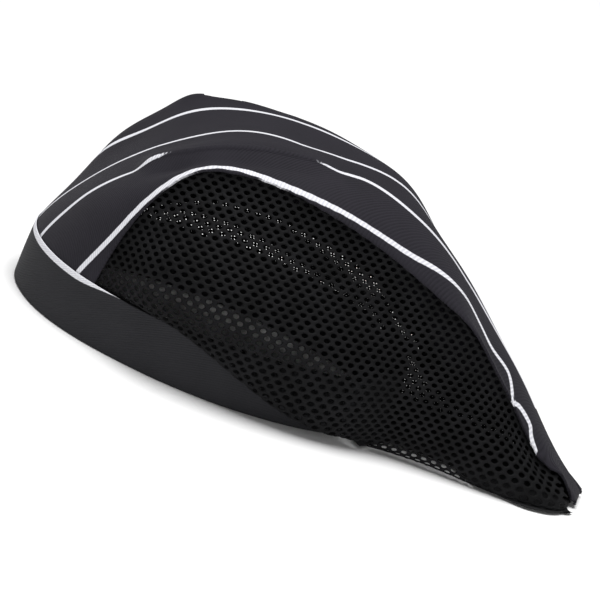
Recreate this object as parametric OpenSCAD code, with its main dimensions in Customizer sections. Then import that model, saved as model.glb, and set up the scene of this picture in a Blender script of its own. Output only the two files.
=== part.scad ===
// Slouch chef's cap: a folded head band, a long striped crown panel that runs out
// into a tail, a panel under the tail, and a net panel sewn in on each side.
// The origin is the middle of the head opening in the plane of the rim.
// The front of the cap faces -X, the tail lies towards +X and the rim is at Z = 0.

/* [Head band] */
// Outside length of the band, front to back
band_length = 200; // [190:1:212]
// Outside width of the band, side to side
band_width = 155; // [150:1:164]
// Radius of the band's rounded front and back
band_end_radius = 70; // [66:0.5:72]
// Height of the band
band_height = 30; // [26:1:36]
// Thickness of the band's outer cloth
band_cloth = 0.8; // [0.6:0.1:1.2]
// Thickness of the cloth that faces the band inside
lining_cloth = 0.6; // [0.5:0.1:1]
// Thickness of the stiffener inside the front of the band
stiffener_cloth = 1.2; // [0.8:0.1:1.4]
// Height of the hem that turns up inside the rim
hem_height = 10; // [6:1:14]
// Place of the side joins of the lining, behind the middle of the band
lining_join_x = 8; // [0:1:20]

/* [Elastic] */
// Width of the elastic webbing
elastic_width = 16; // [12:1:18]
// Thickness of the elastic webbing
elastic_thickness = 1.2; // [0.8:0.1:1.4]
// Slack left at each end of the elastic
elastic_end_gap = 4; // [2:1:10]
// Depth of the gathers in the casing
gather_depth = 0.8; // [0.4:0.1:1.2]
// Number of gathers along the casing
gather_count = 20; // [12:1:28]

/* [Crown] */
// Height of the crown over the rim
crown_height = 118; // [108:1:128]
// Place of the crown's highest point, behind the middle of the band
crown_top_x = 9; // [0:1:18]
// Height of the near seam beside the crown's highest point
seam_height = 109; // [100:1:114]
// Half width of the crown panel at its highest point
crown_half_width = 50; // [44:1:56]
// Half width of the crown panel along the front of the band
crown_foot_half = 78; // [70:1:84]
// Thickness of the crown cloth
crown_cloth = 0.7; // [0.5:0.1:1]
// Reach of the tail behind the band
tail_reach = 105; // [90:1:120]
// Half width of the tail's end
tail_half_width = 12; // [9:1:15]
// Height of the tail's end
tail_height = 4; // [3:0.5:8]
// Height of the far seam, where the crown hangs down on that side
far_seam_height = 60; // [54:1:70]
// Half width of the cap at the far seam
far_half_width = 55; // [50:1:60]
// Sag of the far shoulder on the rear slope
far_sag = 12; // [0:1:20]
// Rise of the crown's far front corner over the near one
far_puff = 14; // [0:1:16]
// Height of the fold that runs along the near side of the crown
fold_height = 3; // [0:0.5:4]
// Half breadth of that fold
fold_breadth = 7; // [5:0.5:10]

/* [Net panels] */
// Thickness of the net
net_cloth = 0.8; // [0.6:0.1:1.1]
// Number of gaps along a net panel
net_columns = 12; // [10:1:14]
// Number of rows of gaps in a net panel
net_rows = 6; // [4:1:8]
// Share of each cell that its gap takes
net_gap_share = 0.66; // [0.5:0.02:0.76]
// Fullness of the net between its seams
net_bulge = 16; // [8:1:22]
// Distance that the net hangs out beyond the back of the band
net_overhang = 12; // [8:1:20]

/* [Panel under the tail] */
// Half width of the under panel along the back of the band
under_foot_half = 48; // [40:1:56]
// Thickness of the under panel
under_cloth = 0.7; // [0.5:0.1:1]
// Height of the under panel over the table
floor_gap = 1.2; // [0.2:0.1:2.4]

/* [Sewing] */
// Depth that each panel goes down into the band
tuck = 6; // [4:0.5:8]
// Overlap of the net under the crown's edge
seam_lap = 6; // [4:0.5:8]
// Clearance between layers of cloth in the band
layer_gap = 0.12; // [0.08:0.02:0.2]
// Clearance between two panels where they are sewn together
seam_gap = 0.6; // [0.5:0.05:0.7]
// Clearance of the panels round the top edge of the band
edge_gap = 0.6; // [0.5:0.1:0.8]

/* [Hidden] */
$fn = 160;
black_cloth = "#2b2a2e";
black_net = "#17171a";
grey_inside = "#3a3a3d";

// The band's outline is an oval of four arcs, and every layer is the same oval drawn in
half_length = band_length / 2;
half_width = band_width / 2;
end_x = half_length - band_end_radius;
side_radius = (end_x * end_x + half_width * half_width - band_end_radius * band_end_radius)
            / (2 * (half_width - band_end_radius));
centre_gap = side_radius - band_end_radius;
end_angle = acos(end_x / centre_gap);
side_angle = 90 - end_angle;
end_arc = band_end_radius * end_angle * PI / 180;
side_arc = 2 * side_radius * side_angle * PI / 180;
half_girth = 2 * end_arc + side_arc;

// Layers of the band from the outside in, as distances from the outer face
panel_in = band_cloth + layer_gap;
seam_in = panel_in + crown_cloth + seam_gap;
sewn_layers = crown_cloth + 2 * seam_gap + max(net_cloth, under_cloth);
filling = max(sewn_layers, stiffener_cloth, elastic_thickness);
lining_in = panel_in + filling + layer_gap;
hem_in = lining_in + lining_cloth + layer_gap;
rim_width = hem_in + band_cloth;
filling_z = band_cloth + layer_gap;
filling_top = band_height - tuck - layer_gap;
over_edge = band_height + edge_gap;

function mix(a, b, t) = a + (b - a) * t;
function ease(t) = let (c = min(max(t, 0), 1)) c * c * (3 - 2 * c);
function bezier(p, t) = let (s = 1 - t)
    s * s * s * p[0] + 3 * s * s * t * p[1] + 3 * s * t * t * p[2] + t * t * t * p[3];
function unit(v) = v / max(norm(v), 0.000001);

// A point of the oval at a distance along the outer face from the middle of the front
function oval(arc, inset) =
    let (r = band_end_radius - inset, deg = 180 / PI)
    arc < end_arc ?
        let (a = arc / band_end_radius * deg) [-end_x - r * cos(a), -r * sin(a)] :
    arc < end_arc + side_arc ?
        let (a = (arc - end_arc) / side_radius * deg - side_angle, q = side_radius - inset)
        [q * sin(a), side_radius - half_width - q * cos(a)] :
        let (a = (half_girth - arc) / band_end_radius * deg) [end_x + r * cos(a), -r * sin(a)];
function at_height(p, z) = [p[0], p[1], z];

// Middle line of the crown: w runs from 0 at the band to 1 on top and 2 at the tail
tail_x = half_length + tail_reach;
floor_z = floor_gap + under_cloth;
front_x = seam_in - half_length;
front_run = crown_top_x - front_x;
rear_run = tail_x - crown_top_x;
rise = crown_height - over_edge;
crown_top = [crown_top_x, 0, crown_height];
middle_front = [[front_x, 0, over_edge], [front_x + 0.056 * front_run, 0, over_edge + 0.23 * rise],
                crown_top - [0.54 * front_run, 0, 0.02 * rise], crown_top];
middle_rear = [crown_top, crown_top + [0.4 * rear_run, 0, 0.09 * rise],
               [tail_x - 0.6 * rear_run, 0, crown_height - 0.16 * rise], [tail_x, 0, tail_height]];
function middle(w) = w < 1 ? bezier(middle_front, w) : bezier(middle_rear, w - 1);

// Seam between crown and net, for the near side at -Y
foot = oval(crown_foot_half, seam_in);
seam_top = [crown_top_x - 0.085 * front_run, -crown_half_width, seam_height];
seam_front = [at_height(foot, over_edge),
              [foot[0] + 0.047 * front_run, mix(foot[1], -crown_half_width, 0.4), mix(band_height, seam_height, 0.58)],
              seam_top - [0.38 * front_run, 0, 0], seam_top];
seam_rear = [seam_top, seam_top + [0.36 * rear_run, 0.04 * crown_half_width, -0.01 * rise],
             [tail_x - 0.4 * rear_run, -0.52 * crown_half_width, seam_height - 0.37 * rise],
             [tail_x - 2, -tail_half_width, tail_height]];
puff_front = [[0, 0, 0], [0, 0, far_puff * 2],
              [-far_puff * 2, 0, far_puff * 0.2], [0, 0, far_puff * 0.4]];
puff_rear = [puff_front[3], puff_front[3], [0, 0, 0], [0, 0, 0]];
function sag(w) = far_sag * ease((w - 1.25) / 0.4) * ease((2 - w) / 0.18);
// On the far side the crown goes over a shoulder, puffed up in front and sagging behind
shoulder_front = seam_front + puff_front;
shoulder_rear = [for (k = [0 : 2]) seam_rear[k] + puff_rear[k]];
shoulder_end = [tail_x - 1, -0.58 * tail_half_width, tail_height];
function shoulder(w) = w < 1 ? bezier(shoulder_front, w) :
    bezier(concat(shoulder_rear, [shoulder_end]), w - 1) - [0, 0, sag(w)];
// and hangs down from it to the far seam
far_top = [crown_top_x + 3, -far_half_width, far_seam_height];
far_front = [seam_front[0],
             [foot[0] + 0.13 * front_run, 1.066 * foot[1], mix(over_edge, far_seam_height, 0.3)],
             far_top - [0.34 * front_run, 0.04 * far_half_width, -0.02 * far_seam_height], far_top];
far_rear = [far_top, far_top + [0.3 * rear_run, 0.06 * far_half_width, 0],
            [tail_x - 0.42 * rear_run, -0.56 * far_half_width, 0.62 * far_seam_height], seam_rear[3]];
function seam(w, far) = w < 1 ? bezier(far > 0 ? far_front : seam_front, w) :
    bezier(far > 0 ? far_rear : seam_rear, w - 1);

// Surface of the crown: t runs from 0 on the middle line to 1 on the seam
seam_turn = 78;
fold_place = 0.49;
near_columns = 8;
far_columns = 9;
shoulder_share = 5 / far_columns;
foot_share = 0.85;
function arch(m, e, t) =
    let (out = sin(seam_turn * t) / sin(seam_turn))
    let (drop = (1 - cos(seam_turn * t)) / (1 - cos(seam_turn)))
    [mix(m[0], e[0], drop), e[1] * out, mix(m[2], e[2], drop)];
function flap(w, f) =
    let (a = shoulder(w), e = seam(w, 1), fall = a - e, start = 0.2 * norm(fall) * [0, -0.85, -0.53])
    bezier([a, a + start, e + [0.3 * fall[0], 0, 0.45 * fall[2]], e], f);
function past(t) = (t - shoulder_share) / (1 - shoulder_share);
function rib(w, t, far) = far == 0 ? arch(middle(w), seam(w, 0), t) :
    t < shoulder_share ? arch(middle(w), shoulder(w), t / shoulder_share) : flap(w, past(t));
function foot_hold(w) = 1 - ease(w / 0.6);
function fold_along(w) = ease((w - 0.3) / 0.35) * (1 - ease((w - 0.95) / 0.35));
function fold_rise(w, t, far) = far > 0 ? 0 :
    fold_height * fold_along(w) * exp(-pow((t - fold_place) * crown_half_width * 1.1 / fold_breadth, 2));
function foot_arc(t, far) = crown_foot_half * (far == 0 ? t :
    t < shoulder_share ? foot_share * t / shoulder_share : mix(foot_share, 1, past(t)));
function on_edge(t, far) = at_height(oval(foot_arc(t, far), seam_in), over_edge);
function crown(w, t, far) =
    rib(w, t, far) + foot_hold(w) * (on_edge(t, far) - rib(0, t, far)) + [0, 0, fold_rise(w, t, far)];
function crown_any(w, t) = t < 0 ? crown(w, -t, 0) : let (p = crown(w, t, 1)) [p[0], -p[1], p[2]];

// Outline of the bag that the net makes over the table, and the height of its fold
rear_share = 0.5;
front_share = 0.15;
top_start = 0.6;
hang_start = 0.12;
net_arc_end = half_girth - under_foot_half - 1;
function band_arc(s) = mix(crown_foot_half, net_arc_end, min(s / rear_share, 1));
function hang_out(s) = edge_gap + net_cloth + seam_gap + net_overhang * pow(s / rear_share, 2.4);
function bag_side(s) = oval(band_arc(s), -hang_out(s));
bag_corner = bag_side(rear_share);
bag_end = [tail_x - 2, -tail_half_width - 1];
bag_tail = [bag_corner, bag_corner + [0.27, 0.21] * tail_reach, bag_end - [0, 0.43 * tail_reach], bag_end];
function rear_part(s) = (s - rear_share) / (1 - rear_share);
function bag(s) = s < rear_share ? bag_side(max(s, 0)) : bezier(bag_tail, rear_part(s));
function hang(s) = ease((s - hang_start) / (rear_share - hang_start));
function bag_z(s) = mix(over_edge + net_cloth + edge_gap, floor_gap, hang(s));
function outward(s) = let (d = unit(bag(s + 0.01) - bag(s - 0.01))) [d[1], -d[0]];
function top_w(s) = s < front_share ? mix(top_start, 1, s / front_share) :
    1 + (s - front_share) / (1 - front_share);

// Rows of the net from the tuck in the band, over its edge, down to the fold and up to the seam
fold_row = 5;
rise_row = 6;
top_row = rise_row + net_rows;
lap_row = top_row + 1;
fold_step = 1.8;
edge_drop = 1;
function row_share(row) = row <= rise_row ? 0.012 * (row - 1) :
    mix(0.06, 1, (row - rise_row) / net_rows);
function net_low(s, row) =
    let (arc = band_arc(s), z = bag_z(s), drop = over_edge + edge_gap - z, b = bag(s), o = outward(s))
    let (outside = at_height(oval(arc, -edge_gap), over_edge - min(max(drop, 0), edge_drop)))
    row == 0 ? at_height(oval(arc, seam_in), band_height - tuck) :
    row == 1 ? at_height(oval(arc, seam_in), over_edge) :
    row == 2 ? at_height(oval(arc, band_cloth / 2), over_edge + edge_gap) :
    row == 3 ? outside :
    row == 4 ? at_height(mix(oval(arc, -edge_gap), b, 0.35), mix(outside[2], z, 0.8)) :
    row == 5 ? at_height(b, z) :
    [b[0] + o[0] * fold_step, b[1] + o[1] * fold_step, z + fold_step];
function net_push(s, far) =
    at_height(outward(s), 0) * net_bulge * (1 - 0.5 * far) * (1 - 0.94 * ease(rear_part(s)));
function net_raw(s, row, far) = row <= rise_row ? net_low(s, row) :
    let (f = (row - rise_row) / net_rows, a = net_low(s, rise_row), e = seam(top_w(s), far))
    let (push = net_push(s, far), rise = [0, 0, e[2] - a[2]])
    bezier([a, a + push + rise * 0.35, e + push * 0.5 - rise * 0.3, e], f);
function front_hold(s) = 1 - ease(s / hang_start);
function net_point(s, row, far) = row <= 1 ? net_low(s, row) :
    net_raw(s, row, far) + front_hold(s) * (seam(top_start * row_share(row), far) - net_raw(0, row, far));
function lap(w) = seam_lap * (1 - 0.6 * ease((w - 1.7) / 0.3));
function flap_reach(w) = norm(seam(w, 1) - shoulder(w)) + foot_hold(w) * (1 - foot_share) * crown_foot_half;
function lap_t(w, far) = 1 - (far == 0 ? lap(w) / norm(seam(w, 0) - middle(w)) :
    (1 - shoulder_share) * lap(w) / flap_reach(w));
function edge_w(row) = top_start * max(row_share(min(row, top_row)), 0);
function net_foot(row) =
    at_height(oval(crown_foot_half - seam_lap, seam_in), row == 0 ? band_height - tuck : over_edge);
function net_node(column, row, far) =
    let (s = (column - 1) / (2 * net_columns), w = column == 0 ? edge_w(row) : top_w(s))
    row <= 1 && column == 0 ? net_foot(row) :
    column == 0 || row > top_row ? crown(w, lap_t(w, far), far) : net_point(s, row, far);

// Rows that part two lines of gaps go in a zigzag, so that the gaps are six-sided
zigzag = 1 / 6;
function zig(column, row) = row > rise_row && row < top_row && column > 0 ?
    zigzag * ((column + row) % 2 == 0 ? -1 : 1) : 0;
function net_grid(far) = [for (c = [0 : 2 * net_columns + 1]) [for (r = [0 : lap_row])
    net_node(c, r + zig(c, r), far)]];
last_low_column = 1 + round(rear_share * 2 * net_columns);
function is_net(c, r) = c >= 0 && r >= 0 && c <= 2 * net_columns && r < lap_row
    && (r >= fold_row || c < last_low_column);
function gap_start(r) = 1 + (r - rise_row) % 2;
function gap_end(r) = 2 * net_columns - 4 + gap_start(r);
net_gaps = [for (r = [rise_row : top_row - 1]) for (c = [gap_start(r) : 2 : gap_end(r) - 1]) [c, r]];
function in_gap(c, r) = r >= rise_row && r < top_row && c >= gap_start(r) && c < gap_end(r);

// Rows of the under panel from the tuck in the band to the tail's end
floor_row = 5;
under_rows = floor_row + net_columns;
under_across = 10;
floor_start = 8;
edge_insets = [seam_in, seam_in, band_cloth / 2, -edge_gap];
edge_heights = [band_height - tuck, over_edge, over_edge + edge_gap, over_edge - edge_drop];
function under_edge(v, row) = let (p = oval(half_girth - abs(v) * under_foot_half, edge_insets[row]))
    [p[0], v > 0 ? -p[1] : p[1], edge_heights[row]];
function under_floor(v, f) =
    let (b = bezier(bag_tail, f), q = mix(half_length + edge_gap + floor_start, bag_end[0], f))
    [mix(q, b[0], v * v), -v * (b[1] + seam_gap), floor_gap];
function under_hang(v) = let (p = mix(under_edge(v, 3), under_floor(v, 0), 0.3))
    at_height(p, mix(edge_heights[3], floor_gap, 0.8));
function under_node(v, row) = row <= 3 ? under_edge(v, row) : row == 4 ? under_hang(v) :
    under_floor(v, (row - floor_row) / net_columns);
under_grid = [for (r = [0 : under_rows]) [for (c = [0 : under_across])
    under_node(1 - 2 * c / under_across, r)]];

// Grid of the crown panel, with its first rows inside the band
crown_along_front = 10;
crown_along_rear = 20;
crown_across = near_columns + far_columns;
function crown_t(j) = j < near_columns ? j / near_columns - 1 : (j - near_columns) / far_columns;
function crown_w(i) = i < crown_along_front ? i / crown_along_front :
    1 + (i - crown_along_front) / crown_along_rear;
function crown_foot(t) = let (p = oval(foot_arc(abs(t), t < 0 ? 0 : 1), seam_in))
    [p[0], t < 0 ? p[1] : -p[1], band_height - tuck];
function tail_turn(t) = let (p = crown_any(2, t)) [tail_x, p[1], floor_z + layer_gap];
crown_rows = crown_along_front + crown_along_rear;
function crown_node(i, t) = i < 0 ? crown_foot(t) : i > crown_rows ? tail_turn(t) : crown_any(crown_w(i), t);
crown_grid = [for (i = [-1 : crown_rows + 1]) [for (j = [0 : crown_across])
    crown_node(i, crown_t(j))]];

// Cloth between two distances from a grid of points, left out where has() says so
function everywhere() = function (i, j, n, m) i >= 0 && j >= 0 && i < n - 1 && j < m - 1;
function turn(g, i, j) = let (n = len(g) - 1, m = len(g[0]) - 1)
    unit(cross(g[min(i + 1, n)][j] - g[max(i - 1, 0)][j], g[i][min(j + 1, m)] - g[i][max(j - 1, 0)]));
function layer(g, away) = [for (i = [0 : len(g) - 1]) for (j = [0 : len(g[0]) - 1])
    g[i][j] + away * turn(g, i, j)];
function ring(c, r) = [[c, r], [c + 1, r], [c + 2, r], [c + 2, r + 1], [c + 1, r + 1], [c, r + 1]];
function gap_edge(points, corners) =
    let (p = [for (k = corners) points[k]], middle = (p[0] + p[1] + p[2] + p[3] + p[4] + p[5]) / 6)
    [for (q = p) mix(middle, q, net_gap_share)];

module cloth(g, low, high, has, gaps, is_gap) {
    n = len(g);
    m = len(g[0]);
    total = n * m;
    top = layer(g, high);
    base = layer(g, low);
    corners = [for (k = gaps) [for (q = ring(k[0], k[1])) q[0] * m + q[1]]];
    gap_points = [for (k = corners) each concat(gap_edge(top, k), gap_edge(base, k))];
    cells = [for (i = [0 : n - 2]) for (j = [0 : m - 2]) if (has(i, j, n, m)) [i, j]];
    plain = [for (k = cells) if (!is_gap(k[0], k[1])) k];
    function id(i, j) = i * m + j;
    function quad(a, b, c, d) = [[a, b, c], [a, c, d]];
    function wall(i, j, p, q) = has(i, j, n, m) ? [] : quad(p, q, q + total, p + total);
    function cell(i, j) = [id(i, j), id(i, j + 1), id(i + 1, j + 1), id(i + 1, j)];
    surface = [for (k = plain) let (q = cell(k[0], k[1]))
        each concat(quad(q[0], q[1], q[2], q[3]),
                    quad(total + q[0], total + q[3], total + q[2], total + q[1]))];
    edges = [for (k = cells) let (i = k[0], j = k[1])
        each concat(wall(i - 1, j, id(i, j + 1), id(i, j)), wall(i + 1, j, id(i + 1, j), id(i + 1, j + 1)),
                    wall(i, j - 1, id(i, j), id(i + 1, j)), wall(i, j + 1, id(i + 1, j + 1), id(i, j + 1)))];
    rims = [for (k = [0 : 1 : len(corners) - 1]) let (c = corners[k], h = 2 * total + 12 * k)
        for (a = [0 : 5]) let (b = (a + 1) % 6)
        each concat(quad(c[a], h + a, h + b, c[b]), quad(h + a, h + 6 + a, h + 6 + b, h + b),
                    quad(total + c[a], total + c[b], h + 6 + b, h + 6 + a))];
    polyhedron(concat(top, base, gap_points), concat(surface, edges, rims), convexity = 12);
}

module plain_cloth(g, low, high) {
    cloth(g, low, high, everywhere(), [], function (i, j) false);
}

module net(far) {
    has = function (i, j, n, m) is_net(i, j);
    is_gap = function (i, j) in_gap(i, j);
    cloth(net_grid(far), -net_cloth, 0, has, net_gaps, is_gap);
}

// Flat shape of the band's oval drawn in by a distance
module oval_face(inset) {
    q = side_radius - inset;
    meet_x = end_x * q / centre_gap;
    intersection() {
        translate([0, side_radius - half_width]) circle(q);
        translate([0, half_width - side_radius]) circle(q);
        square([2 * meet_x, 2 * half_width], center = true);
    }
    for (side = [-1, 1]) translate([side * end_x, 0]) circle(band_end_radius - inset);
}

module oval_wall(outer, inner, bottom, top) {
    translate([0, 0, bottom]) linear_extrude(top - bottom) difference() {
        oval_face(outer);
        oval_face(inner);
    }
}

// Half space in front of, or behind, the lining's side joins
module front_of(x) {
    side = 2 * band_length;
    translate([x - side, -band_length, -1]) cube([side, side, 2 * band_height]);
}

module behind(x) {
    side = 2 * band_length;
    translate([x, -band_length, -1]) cube([side, side, 2 * band_height]);
}

module band_outer() {
    color(black_cloth) {
        oval_wall(0, band_cloth, 0, band_height);
        oval_wall(0, rim_width, 0, band_cloth);
        oval_wall(hem_in, rim_width, 0, hem_height);
    }
}

module band_stiffener() {
    color("#4a4a48") intersection() {
        oval_wall(panel_in, panel_in + stiffener_cloth, filling_z, filling_top);
        front_of(lining_join_x);
    }
}

module band_lining() {
    color(grey_inside) intersection() {
        oval_wall(lining_in, lining_in + lining_cloth, filling_z, band_height);
        front_of(lining_join_x);
    }
}

// The casing has upright gathers over the hem, drawn up by the elastic behind it
module elastic_casing() {
    buried = 0.7 * lining_cloth;
    gather_r = (gather_depth + buried) / 2;
    gather_in = lining_in + lining_cloth - buried + gather_r;
    join_arc = end_arc + (side_angle + asin(lining_join_x / side_radius)) * PI / 180 * side_radius;
    step = (half_girth - join_arc) / gather_count;
    color(grey_inside) {
        intersection() {
            oval_wall(lining_in, lining_in + lining_cloth, filling_z, band_height);
            behind(lining_join_x + layer_gap);
        }
        for (k = [0 : gather_count - 1]) for (side = [-1, 1]) {
            p = oval(join_arc + (k + 0.5) * step, gather_in);
            translate([p[0], side * p[1], hem_height + layer_gap])
                cylinder(r = gather_r, h = band_height - hem_height - layer_gap, $fn = 24);
        }
    }
}

module rear_elastic() {
    color("#d8d6d0") intersection() {
        oval_wall(panel_in, panel_in + elastic_thickness, filling_z, filling_z + elastic_width);
        behind(lining_join_x + elastic_end_gap);
    }
}

module crown_panel() {
    color(black_cloth) plain_cloth(crown_grid, seam_gap, seam_gap + crown_cloth);
}

module under_panel() {
    color(black_cloth) plain_cloth(under_grid, -under_cloth, 0);
}

module net_panel_near() {
    color(black_net) net(0);
}

module net_panel_far() {
    color(black_net) mirror([0, 1, 0]) net(1);
}

band_outer();
band_stiffener();
band_lining();
elastic_casing();
rear_elastic();
crown_panel();
under_panel();
net_panel_near();
net_panel_far();
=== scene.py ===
import math
import bpy
import numpy as np
from mathutils import Matrix, Vector
from mathutils.kdtree import KDTree


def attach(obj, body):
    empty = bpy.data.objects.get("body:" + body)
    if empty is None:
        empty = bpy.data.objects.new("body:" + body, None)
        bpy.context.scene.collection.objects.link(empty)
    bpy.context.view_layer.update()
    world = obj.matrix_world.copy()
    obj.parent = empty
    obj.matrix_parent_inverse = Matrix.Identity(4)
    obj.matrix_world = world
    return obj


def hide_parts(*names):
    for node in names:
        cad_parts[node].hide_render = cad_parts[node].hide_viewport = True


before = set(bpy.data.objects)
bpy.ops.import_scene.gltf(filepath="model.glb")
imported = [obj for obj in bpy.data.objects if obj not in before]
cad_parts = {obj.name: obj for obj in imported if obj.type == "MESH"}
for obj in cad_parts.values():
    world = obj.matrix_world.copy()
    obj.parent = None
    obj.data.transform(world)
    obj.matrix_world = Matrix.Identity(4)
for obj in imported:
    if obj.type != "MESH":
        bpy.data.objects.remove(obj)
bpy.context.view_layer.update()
scene = bpy.context.scene
scene.view_settings.view_transform = "Standard"
mm = 0.001
print("frame loaded:", len(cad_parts), "nodes")

# Sizes in millimetres, the same as the solids'
sewing = {"tuck": 6.0, "lap": 6.0, "layerGap": 0.12, "seamGap": 0.6, "edgeGap": 0.6}
bandSizes = {"length": 200.0, "width": 155.0, "endRadius": 70.0, "height": 30.0, "cloth": 0.8,
             "hem": 10.0, "stripe": 3.0, "stripeEnd": 96.0}
liningSizes = {"cloth": 0.6, "cutHeight": 29.5, "joinX": 8.0, "gatherDepth": 0.8, "gathers": 20}
crownSizes = {"height": 118.0, "topX": 9.0, "seamHeight": 109.0, "halfWidth": 50.0, "footHalf": 78.0,
              "cloth": 0.7, "tailReach": 105.0, "tailHalf": 12.0, "tailHeight": 4.0, "farSeamHeight": 60.0,
              "farHalf": 55.0, "farSag": 12.0, "farPuff": 14.0, "shoulderShare": 5 / 9, "footShare": 0.85}
netSizes = {"cloth": 0.8, "bulge": 16.0, "overhang": 12.0, "turn": -17.0, "lap": 10.0}
# the far panel lies bunched up in layers: the small gaps left between them are drawn as a finer net
netCells = {"netNear": {"pitch": 5.8, "rowStep": 3.1, "hole": 0.68, "squeeze": 0.8, "tailShare": 1.0,
                        "rounding": 1},
            "netFar": {"pitch": 2.4, "rowStep": 1.2, "hole": 0.3, "squeeze": 0.8, "tailShare": 0.2,
                       "rounding": 0}}
underSizes = {"footHalf": 48.0, "cloth": 0.7, "floorGap": 1.2, "drawIn": 16.0, "shown": 5.0}


def ease(t):
    c = np.clip(t, 0, 1)
    return c * c * (3 - 2 * c)


def mix(a, b, t):
    return a + (b - a) * t


def bezier(p, t):
    t = np.asarray(t, float)[..., None]
    s = 1 - t
    a, b, c, d = (np.asarray(q, float) for q in p)
    return s ** 3 * a + 3 * s * s * t * b + 3 * s * t * t * c + t ** 3 * d


def unit(v):
    return v / np.maximum(np.linalg.norm(v, axis=-1, keepdims=True), 1e-9)


def atHeight(p, z):
    return np.concatenate([p[..., :2], np.broadcast_to(z, p.shape[:-1])[..., None]], -1)


def hermite(values, slope, k, f, step=1.0):
    a, b = 2 * f ** 3 - 3 * f ** 2 + 1, f ** 3 - 2 * f ** 2 + f
    c, d = 3 * f ** 2 - 2 * f ** 3, f ** 3 - f ** 2
    return a * values[k] + b * step * slope[k] + c * values[k + 1] + d * step * slope[k + 1]


def through(places, values, at):  # smooth curve through a few chosen points
    places, values = np.asarray(places, float), np.asarray(values, float)
    k = np.clip(np.searchsorted(places, at) - 1, 0, len(places) - 2)
    step = places[k + 1] - places[k]
    return hermite(values, np.gradient(values, places), k, np.clip((at - places[k]) / step, 0, 1), step)


def throughRows(knots, spots):  # the same through whole rows of points
    k = np.clip(spots.astype(int), 0, len(knots) - 2)
    return hermite(knots, np.gradient(knots, axis=0), k, (spots - k)[:, None, None])


# The band's outline: an oval of four arcs, drawn in by an inset, by the distance from the middle of the front
halfLength, halfWidth, endRadius = bandSizes["length"] / 2, bandSizes["width"] / 2, bandSizes["endRadius"]
endX = halfLength - endRadius
sideRadius = (endX ** 2 + halfWidth ** 2 - endRadius ** 2) / (2 * (halfWidth - endRadius))
sideAngle = math.pi / 2 - math.acos(endX / (sideRadius - endRadius))
endArc = endRadius * (math.pi / 2 - sideAngle)
sideArc = 2 * sideRadius * sideAngle
halfGirth = 2 * endArc + sideArc


def oval(arc, inset):
    arc = np.asarray(arc, float)
    r, q = endRadius - inset, sideRadius - inset
    a, b, c = arc / endRadius, (arc - endArc) / sideRadius - sideAngle, (halfGirth - arc) / endRadius
    front, side = arc < endArc, arc < endArc + sideArc
    x = np.where(front, -endX - r * np.cos(a), np.where(side, q * np.sin(b), endX + r * np.cos(c)))
    y = np.where(front, -r * np.sin(a),
                 np.where(side, sideRadius - halfWidth - q * np.cos(b), -r * np.sin(c)))
    return np.stack([x, y], -1)


def ovalRound(arc, inset):  # both sides: positive arcs go round by the near side
    arc = np.asarray(arc, float)
    p = oval(np.abs(arc), inset)
    return np.stack([p[..., 0], np.where(arc < 0, -p[..., 1], p[..., 1])], -1)


panelIn = bandSizes["cloth"] + sewing["layerGap"]
seamIn = panelIn + crownSizes["cloth"] + sewing["seamGap"]
liningIn = panelIn + crownSizes["cloth"] + 2 * sewing["seamGap"] + netSizes["cloth"] + sewing["layerGap"]
hemIn = liningIn + liningSizes["cloth"] + sewing["layerGap"]
rimWidth = hemIn + bandSizes["cloth"]
overEdge = bandSizes["height"] + sewing["edgeGap"]
tuckZ = bandSizes["height"] - sewing["tuck"]

# Middle line and seams of the crown: w is 0 at the band, 1 on top and 2 at the tail
tailX = halfLength + crownSizes["tailReach"]
frontX = seamIn - halfLength
frontRun, rearRun = crownSizes["topX"] - frontX, tailX - crownSizes["topX"]
rise = crownSizes["height"] - overEdge
crownTop = np.array([crownSizes["topX"], 0, crownSizes["height"]])
middleFront = [np.array([frontX, 0, overEdge]),
               np.array([frontX + 0.056 * frontRun, 0, overEdge + 0.23 * rise]),
               crownTop - [0.54 * frontRun, 0, 0.02 * rise], crownTop]
middleRear = [crownTop, crownTop + [0.4 * rearRun, 0, 0.09 * rise],
              np.array([tailX - 0.6 * rearRun, 0, crownSizes["height"] - 0.16 * rise]),
              np.array([tailX, 0, crownSizes["tailHeight"]])]
foot = oval(crownSizes["footHalf"], seamIn)
half, puff = crownSizes["halfWidth"], crownSizes["farPuff"]
seamTop = np.array([crownSizes["topX"] - 0.085 * frontRun, -half, crownSizes["seamHeight"]])
seamFront = np.array([[foot[0], foot[1], overEdge],
                      [foot[0] + 0.047 * frontRun, mix(foot[1], -half, 0.4),
                       mix(bandSizes["height"], crownSizes["seamHeight"], 0.58)],
                      seamTop - [0.38 * frontRun, 0, 0], seamTop])
seamRear = np.array([seamTop, seamTop + [0.36 * rearRun, 0.04 * half, -0.01 * rise],
                     [tailX - 0.4 * rearRun, -0.52 * half, crownSizes["seamHeight"] - 0.37 * rise],
                     [tailX - 2, -crownSizes["tailHalf"], crownSizes["tailHeight"]]])
puffFront = np.array([[0, 0, 0], [0, 0, 2 * puff], [-2 * puff, 0, 0.2 * puff], [0, 0, 0.4 * puff]])
puffRear = np.array([puffFront[3], puffFront[3], [0, 0, 0]])
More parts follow.
